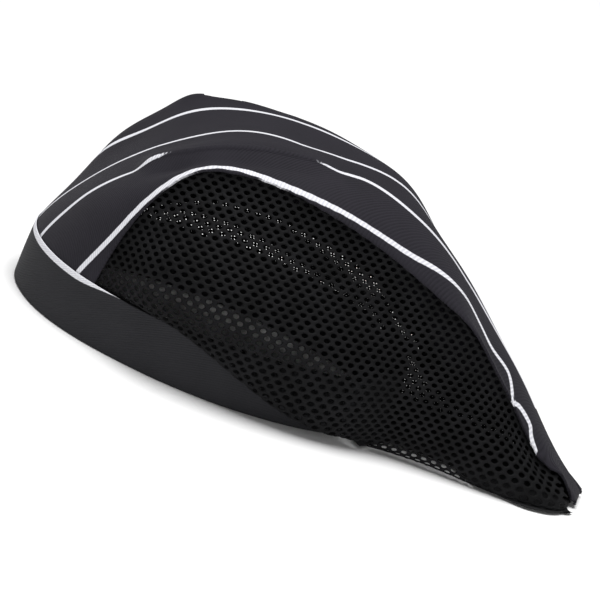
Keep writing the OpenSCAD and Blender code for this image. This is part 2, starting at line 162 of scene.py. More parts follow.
# On the far side the crown goes over a shoulder and hangs down from it to a low seam
shoulderFront = seamFront + puffFront
shoulderRear = np.vstack([seamRear[:3] + puffRear,
                          [tailX - 1, -0.58 * crownSizes["tailHalf"], crownSizes["tailHeight"]]])
farHalf, farHigh = crownSizes["farHalf"], crownSizes["farSeamHeight"]
farTop = np.array([crownSizes["topX"] + 3, -farHalf, farHigh])
farFront = np.array([seamFront[0], [foot[0] + 0.13 * frontRun, 1.066 * foot[1], mix(overEdge, farHigh, 0.3)],
                     farTop - [0.34 * frontRun, 0.04 * farHalf, -0.02 * farHigh], farTop])
farRear = np.array([farTop, farTop + [0.3 * rearRun, 0.06 * farHalf, 0],
                    [tailX - 0.42 * rearRun, -0.56 * farHalf, 0.62 * farHigh], seamRear[3]])
seamTurn = math.radians(78)
seamDrift = {"w": [0, 0.36, 0.71, 0.86, 1.09, 1.15, 1.4, 1.52, 1.62, 1.76, 1.85, 1.89, 1.922, 1.96, 2],
             "rise": [0, 2.4, 2.2, 0.6, 1.2, 0.8, 1.2, 1.8, 3.4, -1.4, -6.0, -6.5, -3.7, 1.0, 0]}
farDrift = {"w": [0, 1.3, 1.36, 1.42, 1.5, 1.56, 1.67, 1.8, 1.92, 2],
            "rise": [0, 0, 0, -8, -10, -18, -17, -8, -2, 0]}


def middle(w):
    w = np.asarray(w, float)
    return np.where((w < 1)[..., None], bezier(middleFront, w), bezier(middleRear, w - 1))


def shoulder(w):
    w = np.asarray(w, float)
    rear = bezier(shoulderRear, w - 1)
    rear[..., 2] -= crownSizes["farSag"] * ease((w - 1.25) / 0.4) * ease((2 - w) / 0.18)
    return np.where((w < 1)[..., None], bezier(shoulderFront, w), rear)


def seam(w, far):
    w = np.asarray(w, float)
    front, rear = (farFront, farRear) if far else (seamFront, seamRear)
    line = np.where((w < 1)[..., None], bezier(front, w), bezier(rear, w - 1))
    drift = farDrift if far else seamDrift  # the seams wander where the tail is bunched up
    line[..., 2] += through(drift["w"], drift["rise"], w)
    return line


def arch(m, e, t):
    out = np.sin(seamTurn * t) / math.sin(seamTurn)
    drop = (1 - np.cos(seamTurn * t)) / (1 - math.cos(seamTurn))
    return np.stack([mix(m[..., 0], e[..., 0], drop), e[..., 1] * out, mix(m[..., 2], e[..., 2], drop)], -1)


def flap(w, f):
    a, e = shoulder(w), seam(w, 1)
    fall = a - e
    start = 0.2 * np.linalg.norm(fall, axis=-1, keepdims=True) * np.array([0, -0.85, -0.53])
    return bezier([a, a + start, e + fall * [0.3, 0, 0.45], e], f)


def pastShoulder(t):
    return np.clip((t - crownSizes["shoulderShare"]) / (1 - crownSizes["shoulderShare"]), 0, 1)


def rib(w, t, far):
    if not far:
        return arch(middle(w), seam(w, 0), t)
    over = np.minimum(t / crownSizes["shoulderShare"], 1)
    return np.where((t < crownSizes["shoulderShare"])[..., None], arch(middle(w), shoulder(w), over),
                    flap(w, pastShoulder(t)))


def footArc(t, far):
    over = np.minimum(t / crownSizes["shoulderShare"], 1) * crownSizes["footShare"]
    share = over + (1 - crownSizes["footShare"]) * pastShoulder(t) if far else t
    return crownSizes["footHalf"] * share


def crownHalf(w, t, far):
    w, t = np.broadcast_arrays(np.asarray(w, float), np.asarray(t, float))
    hold = (1 - ease(w / 0.6))[..., None]
    return rib(w, t, far) + hold * (atHeight(oval(footArc(t, far), seamIn), overEdge)
                                    - rib(np.zeros_like(w), t, far))


def crownPoint(w, t):  # t is -1 on the near seam, 0 on the middle line and 1 on the far seam
    w, t = np.broadcast_arrays(np.asarray(w, float), np.asarray(t, float))
    near, far = crownHalf(w, np.abs(t), 0), crownHalf(w, np.abs(t), 1) * [1, -1, 1]
    return np.where((t < 0)[..., None], near, far)


tailDraw = {"share": 0.25, "fromX": 160.0, "over": 46.0}


def tailPinch(p):  # the far side of the tail is drawn in at its end
    share = tailDraw["share"] * ease((p[..., 0] - tailDraw["fromX"]) / tailDraw["over"])
    share = np.where(p[..., 1] > 0, share, 0.0)
    return np.stack([p[..., 0], p[..., 1] * (1 - share), p[..., 2]], -1)


# Meshes: a row of closed loops skinned together, with rounded cloth edges and closed ends
def wrapLoops(outer, inner):
    def nose(side):
        o, i = outer[:, side], inner[:, side]
        back = 1 if side == 0 else -2
        reach = unit(o - outer[:, back] + i - inner[:, back])
        middle, arm = (o + i) / 2, (o - i) / 2
        size = np.linalg.norm(arm, axis=-1, keepdims=True)
        return [middle + arm * math.cos(a) + reach * size * math.sin(a)
                for a in (math.pi / 4, math.pi / 2, 3 * math.pi / 4)]

    end, start = nose(-1), nose(0)
    return np.concatenate([outer, np.stack(end, 1), inner[:, ::-1], np.stack(start[::-1], 1)], 1)


def wrapValues(values):  # the same order as wrapLoops, for a value on both faces
    end, start = np.repeat(values[:, -1:], 3, 1), np.repeat(values[:, :1], 3, 1)
    return np.concatenate([values, end, values[:, ::-1], start], 1)


def loftFaces(rows, size, ringed):
    index = np.arange(rows * size).reshape(rows, size)
    if ringed:
        index = np.vstack([index, index[:1]])
    a, b = index[:-1], index[1:]
    faces = np.stack([a, np.roll(a, -1, 1), np.roll(b, -1, 1), b], -1).reshape(-1, 4).tolist()
    if not ringed:
        width = (size - 6) // 2
        for row, turned in ((0, False), (rows - 1, True)):
            for k in range(-2, width + 1):
                ring = [k, k + 1, 2 * width + 2 - k - 1, 2 * width + 2 - k]
                ring = [row * size + q % size for q in ring]
                ring = [q for n, q in enumerate(ring) if q not in ring[:n]]
                faces.append(ring if turned else ring[::-1])
    return faces


def addObject(name, data):
    added = bpy.data.objects.new(name, data)
    scene.collection.objects.link(added)
    return added


def makePiece(name, points, faces, material, uv, values=None):
    mesh = bpy.data.meshes.new(name)
    mesh.from_pydata((np.asarray(points).reshape(-1, 3) * mm).tolist(), [], faces)
    mesh.validate()
    corner = np.empty(len(mesh.loops), int)
    mesh.loops.foreach_get("vertex_index", corner)
    layer = mesh.uv_layers.new(name="flat")
    layer.data.foreach_set("uv", (np.asarray(uv).reshape(-1, 2)[corner] * mm).ravel())
    for key, value in (values or {}).items():
        mesh.attributes.new(key, "FLOAT", "POINT").data.foreach_set("value", np.asarray(value, float).ravel())
    mesh.shade_smooth()
    mesh.update()
    mesh.materials.append(material)
    return addObject(name, mesh)


def faceOut(piece):  # closed mesh: faces turned outwards by its signed volume
    mesh = piece.data
    mesh.calc_loop_triangles()
    points = np.empty(len(mesh.vertices) * 3)
    mesh.vertices.foreach_get("co", points)
    points = points.reshape(-1, 3)
    corners = np.empty(len(mesh.loop_triangles) * 3, int)
    mesh.loop_triangles.foreach_get("vertices", corners)
    a, b, c = points[corners.reshape(-1, 3)].transpose(1, 0, 2)
    if np.einsum("ij,ij->", a, np.cross(b, c)) < 0:
        mesh.flip_normals()
    return piece


def makeCloth(name, outer, inner, along, across, material, values=None):
    loops = wrapLoops(outer, inner)
    uv = np.stack([wrapValues(along), wrapValues(across)], -1)
    faces = loftFaces(loops.shape[0], loops.shape[1], False)
    return faceOut(makePiece(name, loops, faces, material, uv, values))


def gridNormals(points):
    return unit(np.cross(np.gradient(points, axis=0), np.gradient(points, axis=1)))


def gridArea(points):
    down, over = np.diff(points, axis=0)[:, 1:], np.diff(points, axis=1)[1:]
    return np.linalg.norm(np.cross(down, over), axis=-1).sum()


def runs(points, axis):  # distance along the grid lines
    steps = np.linalg.norm(np.diff(points, axis=axis), axis=-1)
    total = np.cumsum(steps, axis=axis)
    first = np.zeros_like(np.take(total, [0], axis=axis))
    return np.concatenate([first, total], axis)


# Materials
def hexColour(text):
    parts = [int(text[k:k + 2], 16) / 255 for k in (1, 3, 5)]
    return tuple(c / 12.92 if c <= 0.04045 else ((c + 0.055) / 1.055) ** 2.4 for c in parts) + (1.0,)


def addNode(tree, kind, inputs=None, **settings):  # a node as an input gives its first output
    node = tree.nodes.new(kind)
    for key, value in settings.items():
        setattr(node, key, value)
    for key, value in (inputs or {}).items():
        if isinstance(value, bpy.types.Node):
            value = value.outputs[0]
        if isinstance(value, bpy.types.NodeSocket):
            tree.links.new(value, node.inputs[key])
        else:
            node.inputs[key].default_value = value
    return node


def setInputs(shader, values):
    for key, value in values.items():
        shader.inputs[key].default_value = value


def startMaterial(name, roughness, sheen):
    material = bpy.data.materials.new(name)
    material.use_nodes = True
    shader = material.node_tree.nodes["Principled BSDF"]
    setInputs(shader, {"Roughness": roughness, "Sheen Weight": sheen, "Sheen Roughness": 0.5,
                       "Specular IOR Level": 0.2})
    return material, material.node_tree, shader


def endMaterial(tree, shader, colour, height, strength, depth):
    bump = addNode(tree, "ShaderNodeBump", {"Strength": strength, "Distance": depth * mm, "Height": height})
    tree.links.new(colour, shader.inputs["Base Color"])
    tree.links.new(bump.outputs[0], shader.inputs["Normal"])


def cottonTwill(name, dark, light, pitch, slope, stripe=None, depth=0.25):
    # Cotton twill: matt, with fine raised diagonal ribs and a faint fuzz that lightens glancing faces
    # The ribs are about 1 mm apart, coarser than real ones, so that they show in the render
    material, tree, shader = startMaterial(name, 0.85, 0.03)
    place = addNode(tree, "ShaderNodeUVMap", uv_map="flat")
    turned = addNode(tree, "ShaderNodeMapping", {"Vector": place, "Rotation": (0, 0, math.radians(slope))})
    axes = addNode(tree, "ShaderNodeSeparateXYZ", {0: turned})
    wander, yarn, cloudy = [
        addNode(tree, "ShaderNodeTexNoise", {"Vector": place, "Scale": 1 / (grain * mm), "Detail": detail})
        for grain, detail in ((6, 3.0), (0.9, 2.0), (38, 4.0))]
    phase = addNode(tree, "ShaderNodeMath",
                    {0: axes.outputs["X"], 1: 2 * math.pi / (pitch * mm), 2: wander},
                    operation="MULTIPLY_ADD")
    wave = addNode(tree, "ShaderNodeMath", {0: phase}, operation="SINE")
    ribs = addNode(tree, "ShaderNodeMapRange", {"Value": wave, "From Min": -1.0, "From Max": 1.0})
    tone = addNode(tree, "ShaderNodeMath", {0: yarn, 1: 0.55, 2: cloudy}, operation="MULTIPLY_ADD")
    lift = addNode(tree, "ShaderNodeMath",
                   {0: ribs, 1: 0.5, 2: tone}, operation="MULTIPLY_ADD", use_clamp=True)
    shade = addNode(tree, "ShaderNodeMapRange", {"Value": lift, "From Min": 0.45, "From Max": 1.0})
    colour = addNode(tree, "ShaderNodeMix",
                     {"Factor": shade, 6: hexColour(dark), 7: hexColour(light)}, data_type="RGBA").outputs[2]
    if stripe:
        gap = addNode(tree, "ShaderNodeAttribute", attribute_name="stripeGap").outputs["Fac"]
        rough = addNode(tree, "ShaderNodeMath", {0: yarn, 1: 0.35, 2: gap}, operation="MULTIPLY_ADD")
        white = addNode(tree, "ShaderNodeMapRange",
                        {"Value": rough, "From Min": stripe["half"] + 0.32,
                         "From Max": stripe["half"] - 0.02}, interpolation_type="SMOOTHSTEP")
        thread = addNode(tree, "ShaderNodeMix",
                         {"Factor": ribs, 6: hexColour(stripe["dark"]), 7: hexColour(stripe["light"])},
                         data_type="RGBA")
        colour = addNode(tree, "ShaderNodeMix",
                         {"Factor": white, 6: colour, 7: thread.outputs[2]}, data_type="RGBA").outputs[2]
    height = addNode(tree, "ShaderNodeMath", {0: yarn, 1: 0.4, 2: ribs}, operation="MULTIPLY_ADD")
    endMaterial(tree, shader, colour, height, 0.6, depth)
    return material


def plainWeave(name, dark, light, pitch):
    # Plain weave: two sets of threads over and under each other, matt, also drawn coarser than real
    material, tree, shader = startMaterial(name, 0.85, 0.1)
    place = addNode(tree, "ShaderNodeUVMap", uv_map="flat")
    axes = addNode(tree, "ShaderNodeSeparateXYZ", {0: place})
    waves = []
    for axis in ("X", "Y"):
        turn = addNode(tree, "ShaderNodeMath",
                       {0: axes.outputs[axis], 1: 2 * math.pi / (pitch * mm)}, operation="MULTIPLY")
        waves.append(addNode(tree, "ShaderNodeMath", {0: turn}, operation="SINE"))
    both = addNode(tree, "ShaderNodeMath", {0: waves[0], 1: waves[1]}, operation="MULTIPLY")
    weave = addNode(tree, "ShaderNodeMapRange", {"Value": both, "From Min": -1.0, "From Max": 1.0})
    blotch = addNode(tree, "ShaderNodeTexNoise", {"Vector": place, "Scale": 1 / (20 * mm), "Detail": 4.0})
    tone = addNode(tree, "ShaderNodeMath", {0: weave, 1: blotch}, operation="MULTIPLY")
    colour = addNode(tree, "ShaderNodeMix",
                     {"Factor": tone, 6: hexColour(dark), 7: hexColour(light)}, data_type="RGBA").outputs[2]
    endMaterial(tree, shader, colour, weave, 0.5, 0.15)
    return material


def fibrous(name, dark, light, grain, roughness, stretch=(1.0, 1.0, 1.0), sheen=0.1):
    # Fibres or spun yarn: mottled colour and a fine uneven surface, on object coordinates
    material, tree, shader = startMaterial(name, roughness, sheen)
    place = addNode(tree, "ShaderNodeTexCoord").outputs["Object"]
    drawn = addNode(tree, "ShaderNodeMapping", {"Vector": place, "Scale": stretch})
    fine = addNode(tree, "ShaderNodeTexNoise", {"Vector": drawn, "Scale": 1 / (grain * mm), "Detail": 3.0})
    broad = addNode(tree, "ShaderNodeTexNoise", {"Vector": place, "Scale": 1 / (15 * mm), "Detail": 2.0})
    tone = addNode(tree, "ShaderNodeMath", {0: fine, 1: broad}, operation="MULTIPLY")
    spread = addNode(tree, "ShaderNodeMapRange", {"Value": tone, "From Min": 0.12, "From Max": 0.4})
    colour = addNode(tree, "ShaderNodeMix",
                     {"Factor": spread, 6: hexColour(dark), 7: hexColour(light)}, data_type="RGBA").outputs[2]
    endMaterial(tree, shader, colour, fine, 0.5, 0.1)
    return material


# none is the distance that is given to cloth without a stripe
stripeYarn = {"half": 1.35, "dark": "#d8d8e0", "light": "#f4f4f8", "none": 20.0}
# The crown's twill is given darker colours than the band's twill: painted shade that evens out the stronger
# light on the top
crownTwill = cottonTwill("stripedCottonTwill", "#141317", "#26242b", 1.1, 52, stripeYarn, 0.22)
# The panel under the tail is the crown's twill in much darker colours: painted shade under the tail
shadedUnderTwill = cottonTwill("shadedPlainBlackTwill", "#0c0c0e", "#1a1a1c", 1.1, 52)
bandTwill = cottonTwill("blackCottonTwill", "#19191c", "#2e2e31", 0.9, 60, stripeYarn, 0.2)
liningCotton = plainWeave("plainBlackCotton", "#1c1c1f", "#2e2e31", 0.9)
# Knitted polyester: deep black with hardly any gleam
netYarn = fibrous("blackPolyesterNet", "#0b0b0c", "#18181a", 0.5, 0.7, sheen=0.0)
setInputs(netYarn.node_tree.nodes["Principled BSDF"], {"Specular IOR Level": 0.12})
# Pressed fibres, dull grey
interlining = fibrous("nonWovenInterlining", "#3f3f3d", "#565653", 0.6, 0.95)
# Webbing woven over rubber: pale and dull
elasticWeb = fibrous("wovenElastic", "#c4c0b6", "#e0dcd2", 0.5, 0.8, (1.0, 1.0, 6.0))
# Twisted thread, a little smoother than the cloth
sewingThread = fibrous("blackSewingThread", "#161618", "#2a2a2d", 0.3, 0.6)
print("materials made")


# Crown: grid over the cloth, the fold in its near side, small waves, and the stripes woven in it
crownGrid = {"front": 76, "rear": 118, "feet": 3, "hem": 0.35, "hemIn": 0.4, "hemWidth": 4.0}
foldSizes = {"w": [0.495, 0.55, 0.62, 0.705, 0.81, 0.907, 1.0, 1.068, 1.135],
             "t": [-0.387, -0.385, -0.42, -0.48, -0.483, -0.458, -0.395, -0.333, -0.292],
             "from": 0.47, "to": 1.03, "fade": 0.1, "height": 4.6, "above": 16.0, "below": 12.0, "bend": 1.3,
             "edge": 0.5, "edgeWidth": 0.7, "lip": 0.9, "lipWidth": 1.6}
# soft waves of worn cloth: height, lengths along and across, and start
crownWaves = [(0.45, 16, 25, 0.6), (0.35, 10.5, -17, 2.1), (0.25, 29, 8.5, 4.0)]
puckers = {"height": 0.1, "turn": 0.7, "reach": 7.0}
# where the crown is fuller or hollow: w, t, the reach of each, and the height
swells = [(0.31, 0.38, 0.12, 0.2, 6.0), (0.74, 0.55, 0.14, 0.2, -3.0), (1.5, 0.2, 0.14, 0.2, -2.8),
          (0.62, -0.64, 0.1, 0.13, -2.4), (0.85, -0.66, 0.12, 0.13, -1.8)]
# a stripe that runs into the fold (out) or comes from it (in) grows thin there
stripeRun = {"points": 900, "thin": 1.2, "fade": 2.0}
stripePaths = [
    ([0, 0.32, 0.735, 1.0, 1.275, 1.6, 1.88], [0.256, 0.269, 0.342, 0.322, 0.292, 0.278, 0.278]),
    ([0, 0.5, 1, 1.363, 1.7, 1.88], [0.0, 0.006, 0.0, 0.094, 0.111, 0.111]),
    ([0, 0.338, 0.56, 0.62], [-0.34, -0.36, -0.395, -0.42], "out"),
    ([1.05, 1.1, 1.15, 1.208, 1.387, 1.59, 1.66, 1.75, 1.88],
     [-0.355, -0.31, -0.26, -0.223, -0.215, -0.085, 0.0, 0.04, 0.05], "in"),
    ([0, 0.185, 0.36, 0.517, 0.705, 0.85, 0.995, 1.083, 1.19, 1.32, 1.413, 1.5, 1.57, 1.64, 1.693,
      1.735, 1.79, 1.8, 1.79, 1.825, 1.863, 1.866, 1.88],
     [-0.86, -0.935, -0.955, -0.955, -0.925, -0.9, -0.94, -0.93, -0.88, -0.835, -0.785, -0.67, -0.562,
      -0.445, -0.468, -0.53, -0.46, -0.7, -0.96, -0.74, -0.69, -0.86, -1.0]),
    ([0, 0.3, 0.7, 1.0, 1.4, 1.75], [0.56, 0.59, 0.64, 0.64, 0.62, 0.6]),
    ([0, 0.3, 0.7, 1.0, 1.4, 1.7], [0.9, 0.93, 0.94, 0.94, 0.95, 0.98]),
]


def stripeGaps(base):  # distance of each point from the nearest stripe
    gap = np.full(base.shape[:2], stripeYarn["none"])
    feet = crownGrid["feet"]
    for places, values, *fade in stripePaths:
        steps = np.arange(len(places))
        run = np.linspace(0, steps[-1], stripeRun["points"])
        thin = np.zeros(stripeRun["points"])
        if fade:
            fromEnd = run if fade[0] == "in" else steps[-1] - run
            thin = stripeRun["thin"] * (1 - ease(fromEnd / stripeRun["fade"]))
        path = tailPinch(crownPoint(through(steps, places, run), through(steps, values, run)))
        tree = KDTree(len(path))
        for k, q in enumerate(path):
            tree.insert(q, k)
        tree.balance()
        for i in range(feet, base.shape[0]):
            for j in range(base.shape[1]):
                near = tree.find(base[i, j])
                gap[i, j] = min(gap[i, j], near[2] + thin[near[1]])
        gap[:feet] = gap[feet]
    return gap


def makeCrown():
    front = np.linspace(0, 1, crownGrid["front"], endpoint=False)
    rear = np.linspace(1, 2, crownGrid["rear"])
    w = np.concatenate([front, rear])
    fine = np.linspace(-0.64, -0.24, 41)  # closer columns where the fold runs
    share = crownSizes["shoulderShare"]
    t = np.concatenate([np.linspace(-1, fine[0], 22, endpoint=False), fine,
                        np.linspace(fine[-1], 0, 10)[1:], np.linspace(0, share, 32)[1:],
                        np.linspace(share, 1, 36)[1:]])
    flat = crownPoint(w[:, None], t[None, :])
    footXY = ovalRound(np.where(t < 0, footArc(-t, 0), -footArc(t, 1)), seamIn)
    feet = np.stack([atHeight(footXY, tuckZ + 2.5 * k) for k in range(crownGrid["feet"])])
    tail = flat[-1] * [0, 1, 0] + [tailX, 0, 0]
    endZ = underSizes["floorGap"] + underSizes["cloth"] + sewing["layerGap"]
    turns = np.stack([tail + [0, 0, mix(crownSizes["tailHeight"], endZ, f)] for f in (0.5, 1.0)])
    base = tailPinch(np.concatenate([feet, flat, turns]))
    ws = np.concatenate([np.zeros(crownGrid["feet"]), w, [2, 2]])
    along, across = runs(base, 0), runs(base, 1)
    across = across - across[:, [int(np.argmin(np.abs(t)))]]
    toSeam = np.minimum(across - across[:, :1], across[:, -1:] - across)
    normal = gridNormals(base)
    tangent = unit(np.gradient(base, axis=1))
    # the fold: a crease with the cloth falling away sharply under it
    line = through(foldSizes["w"], foldSizes["t"], ws)
    lineAt = np.stack([np.interp(q, t, row) for q, row in zip(line, across)])
    x = across - lineAt[:, None]
    begun, ended = [ease((ws - foldSizes[key]) / foldSizes["fade"]) for key in ("from", "to")]
    keep = (begun * (1 - ended))[:, None]
    fall = np.clip(1 + x / foldSizes["below"], 0, 1) ** foldSizes["bend"]
    height = foldSizes["height"] * np.where(x > 0, np.exp(-(x / foldSizes["above"]) ** 2), fall)
    height = height + foldSizes["edge"] * np.exp(-(x / foldSizes["edgeWidth"]) ** 2)
    shift = -foldSizes["lip"] * np.exp(-(x / foldSizes["lipWidth"]) ** 2)
    fuller = sum(much * np.exp(-((ws[:, None] - atW) / overW) ** 2 - ((t[None, :] - atT) / overT) ** 2)
                 for atW, atT, overW, overT, much in swells)
    wave = sum(much * np.sin(along / one + across / two + start) for much, one, two, start in crownWaves)
    # small puckers beside the seams
    pucker = puckers["height"] * np.sin(along * puckers["turn"] + 2.5 * np.sin(along / 23))
    pucker = pucker * np.exp(-(toSeam / puckers["reach"]) ** 2)
    loose = ease((along - 12) / 30) * ease((along.max() - along) / 25)
    lift = keep * height + fuller + loose * (wave + pucker)
    moved = base + tangent * (keep * shift)[..., None] + normal * lift[..., None]
    normal = gridNormals(moved)
    hem = np.exp(-(toSeam / crownGrid["hemWidth"]) ** 4)  # the turned edge is thicker
    high = sewing["seamGap"] + crownSizes["cloth"] + crownGrid["hem"] * hem
    outer = moved + normal * high[..., None]
    inner = moved + normal * (sewing["seamGap"] - crownGrid["hemIn"] * hem)[..., None]
    gap = wrapValues(stripeGaps(base))
    gap[:, len(t) + 2:2 * len(t) + 4] = stripeYarn["none"]  # the white yarn floats on the outer face only
    piece = makeCloth("crownCloth", outer, inner, along, across, crownTwill, {"stripeGap": gap})
    return piece, gridArea(base), along.max(), (across.max() - across.min())


crownCloth, crownArea, crownLong, crownWide = makeCrown()
print("crown made:", len(crownCloth.data.polygons), "faces")


# Band: the cloth folded in at the rim and hemmed up inside, as one ring
bandShape = {"columns": 480, "swell": 0.5, "stripeFrom": 66.0,
             "drift": [(0.35, 31, 0.7), (0.25, 13.5, 2.0), (0.12, 6.1, 0.0)]}


def makeBand():
    arc = np.linspace(-halfGirth, halfGirth, bandShape["columns"], endpoint=False)
    h, c = bandSizes["height"], bandSizes["cloth"]
    faceZ = np.concatenate([[0.9], np.linspace(2, 26, 11), np.linspace(26.6, h - 0.4, 7)])
    profile = [(0.0, z) for z in faceZ]
    profile += [(0.12, h - 0.12), (c / 2, h), (c - 0.12, h - 0.12), (c, h - 0.5)]
    profile += [(c, z) for z in (24, 16, 8, 2.2)]
    profile += [(1.2, 1.1), (2.2, c), (3.4, c), (hemIn - 0.4, 1.1), (hemIn, 2.2)]
    profile += [(hemIn, z) for z in (6, bandSizes["hem"] - 0.4)]
    profile += [(hemIn + c / 2, bandSizes["hem"]), (rimWidth, bandSizes["hem"] - 0.4)]
    profile += [(rimWidth, z) for z in (6, 2.4)] + [(rimWidth - 0.35, 0.8), (rimWidth - 1.2, 0.15)]
    profile += [(3.0, 0.0), (1.6, 0.0), (0.6, 0.2), (0.15, 0.5)]
    profile = np.array(profile)
    count = len(profile)
    # the cloth swells a little between its edges and wanders along the rim
    outside = profile[:, 0] < 0.5
    swell = bandShape["swell"] * np.sin(np.pi * np.clip(profile[:, 1] / h, 0, 1)) * outside
    drift = sum(much * np.sin(arc / long + start) for much, long, start in bandShape["drift"])
    low = np.exp(-(profile[:, 1] / 9) ** 2) * (profile[:, 0] < 3)
    inset = profile[:, 0] - swell * (0.7 + 0.5 * drift[:, None]) - 0.6 * low * drift[:, None]
    points = np.stack([atHeight(ovalRound(arc, inset[:, k]), profile[k, 1]) for k in range(count)], 1)
    around = np.repeat(arc[:, None], count, 1)
    steps = np.linalg.norm(np.diff(profile, axis=0, append=profile[:1]), axis=1)
    up = np.concatenate([[0], np.cumsum(steps)[:-1]])
    uv = np.stack([around, np.repeat(up[None, :], len(arc), 0)], -1)
    # the white stripe runs along the top edge in front and slips under the seam at the sides
    slip = (np.abs(arc) - bandShape["stripeFrom"]) / (bandSizes["stripeEnd"] - bandShape["stripeFrom"])
    edge = h - bandSizes["stripe"] * (1 - ease(slip))
    gap = np.where(outside, stripeYarn["half"] + edge[:, None] - profile[:, 1], stripeYarn["none"])
    gap[np.abs(arc) > bandSizes["stripeEnd"]] = stripeYarn["none"]
    faces = loftFaces(len(arc), count, True)
    piece = faceOut(makePiece("bandCloth", points, faces, bandTwill, uv, {"stripeGap": gap}))
    return piece, steps.sum() / 2


bandCloth, bandUnfolded = makeBand()
print("band made")


# Lining in front and gathered casing behind, inside the band
def makeFacing(name, arcs, gathers):  # returns the piece and the area of its cloth
    z = np.concatenate([[panelIn], np.linspace(2, 28, 27), [29.2, 29.6]])
    grid = np.repeat(arcs[:, None], len(z), 1)
    if gathers:
        start = np.abs(arcs).min()
        turn = (np.abs(grid) - start) / (halfGirth - start) * liningSizes["gathers"] * 2 * math.pi
        full = ease((z - bandSizes["hem"]) / 6) * (1 - 0.45 * ease((z - 24) / 5))
        wave = 0.5 - 0.5 * np.cos(turn + 0.5 * np.sin(turn / 2.7))
        depth = liningSizes["gatherDepth"] * full[None, :] * wave
    else:
        depth = 0.12 * np.sin(grid / 18) * np.sin(np.pi * z / 30)[None, :]
    heights = np.broadcast_to(z, grid.shape)
    outer, inner = [np.concatenate([ovalRound(grid, inset + depth), heights[..., None]], -1)
                    for inset in (liningIn, liningIn + liningSizes["cloth"])]
    area = runs(outer, 0)[-1].mean() * (z[-1] - z[0])
    return makeCloth(name, outer, inner, runs(outer, 0), heights, liningCotton), area


joinArc = endArc + (sideAngle + math.asin(liningSizes["joinX"] / sideRadius)) * sideRadius
liningArcs = np.linspace(-joinArc + 0.3, joinArc - 0.3, 160)
liningCloth = makeFacing("liningCloth", liningArcs, False)[0]
casingRun = np.linspace(joinArc + 0.5, 2 * halfGirth - joinArc - 0.5, 480)
casingArcs = np.where(casingRun > halfGirth, casingRun - 2 * halfGirth, casingRun)
casingCloth, casingArea = makeFacing("casingCloth", casingArcs, True)
print("lining and casing made")


# Outline of the bag that the nets make: s is 0 at the foot of the crown's seam and 1 at the tail
bagSizes = {"rearShare": 0.5, "frontShare": 0.15, "topStart": 0.6, "hangStart": 0.12, "foldStep": 1.8,
            "foldRow": 6, "rows": 6, "rowShare": 0.012, "foldShare": 0.06}
bagLift = {"s": [0, 0.4, 0.44, 0.47, 0.5, 0.56, 0.65, 0.75, 1], "rise": [0, 0, 1.5, 3, 2.2, 1, 1, 0, 0]}
risingAt = np.linspace(0, 1, 45)[1:]
netArcEnd = halfGirth - underSizes["footHalf"] - 1
bagEnd = np.array([tailX - 2, -crownSizes["tailHalf"] - 1])


def bandArc(s):
    return mix(crownSizes["footHalf"], netArcEnd, np.minimum(s / bagSizes["rearShare"], 1))


def bagSide(s):
    s = np.clip(s, 0, None)
    out = netSizes["overhang"] * (s / bagSizes["rearShare"]) ** 2.4
    out = sewing["edgeGap"] + netSizes["cloth"] + sewing["seamGap"] + out
    points = [oval(bandArc(q), -o) for q, o in zip(np.ravel(s), np.ravel(out))]
    return np.stack(points).reshape(np.shape(s) + (2,))


bagCorner = bagSide(np.array([bagSizes["rearShare"]]))[0]
bagTail = [bagCorner, bagCorner + np.array([0.27, 0.21]) * crownSizes["tailReach"],
           bagEnd - [0, 0.43 * crownSizes["tailReach"]], bagEnd]


def rearPart(s):
    return (s - bagSizes["rearShare"]) / (1 - bagSizes["rearShare"])


def bag(s):
    s = np.asarray(s, float)
    return np.where((s < bagSizes["rearShare"])[..., None], bagSide(np.minimum(s, bagSizes["rearShare"])),
                    bezier(bagTail, rearPart(s)))


def bagZ(s):
    hang = ease((s - bagSizes["hangStart"]) / (bagSizes["rearShare"] - bagSizes["hangStart"]))
    lift = through(bagLift["s"], bagLift["rise"], np.asarray(s))
    return mix(overEdge + netSizes["cloth"] + sewing["edgeGap"], underSizes["floorGap"], hang) + lift


def outward(s):
    d = unit(bag(s + 0.01) - bag(s - 0.01))
    return np.stack([d[..., 1], -d[..., 0]], -1)


def topW(s):
    share = bagSizes["frontShare"]
    return np.where(s < share, mix(bagSizes["topStart"], 1, s / share), 1 + (s - share) / (1 - share))


def rowShare(row):
    fold = bagSizes["foldRow"]
    rising = mix(bagSizes["foldShare"], 1, (row - fold) / bagSizes["rows"])
    return np.where(row <= fold, bagSizes["rowShare"] * (row - 1), rising)


def netLow(s):  # the seven low rows, from the tuck in the band to the fold of the bag
    arc, z, b, o = bandArc(s), bagZ(s), bag(s), outward(s)
    drop = np.clip(overEdge + sewing["edgeGap"] - z, 0, 1)
    edge = np.stack([oval(q, -sewing["edgeGap"]) for q in arc])
    inside = np.stack([oval(q, seamIn) for q in arc])
    over = np.stack([oval(q, bandSizes["cloth"] / 2) for q in arc])
    sideZ = overEdge - drop
    return [atHeight(inside, tuckZ), atHeight(inside, overEdge), atHeight(over, overEdge + sewing["edgeGap"]),
            atHeight(edge, sideZ), atHeight(mix(edge, b, 0.35), mix(sideZ, z, 0.8)), atHeight(b, z),
            atHeight(b + o * bagSizes["foldStep"], z + bagSizes["foldStep"])]


def netRise(s, f, far):
    a, e = netLow(s)[bagSizes["foldRow"]], seam(topW(s), far)
    full = netSizes["bulge"] * (1 - 0.5 * far) * (1 - 0.94 * ease(rearPart(s)))
    push = atHeight(outward(s), 0.0) * full[..., None]
    up = np.zeros_like(a)
    up[..., 2] = e[..., 2] - a[..., 2]
    return bezier([a, a + push + 0.35 * up, e + 0.5 * push - 0.3 * up, e], f)


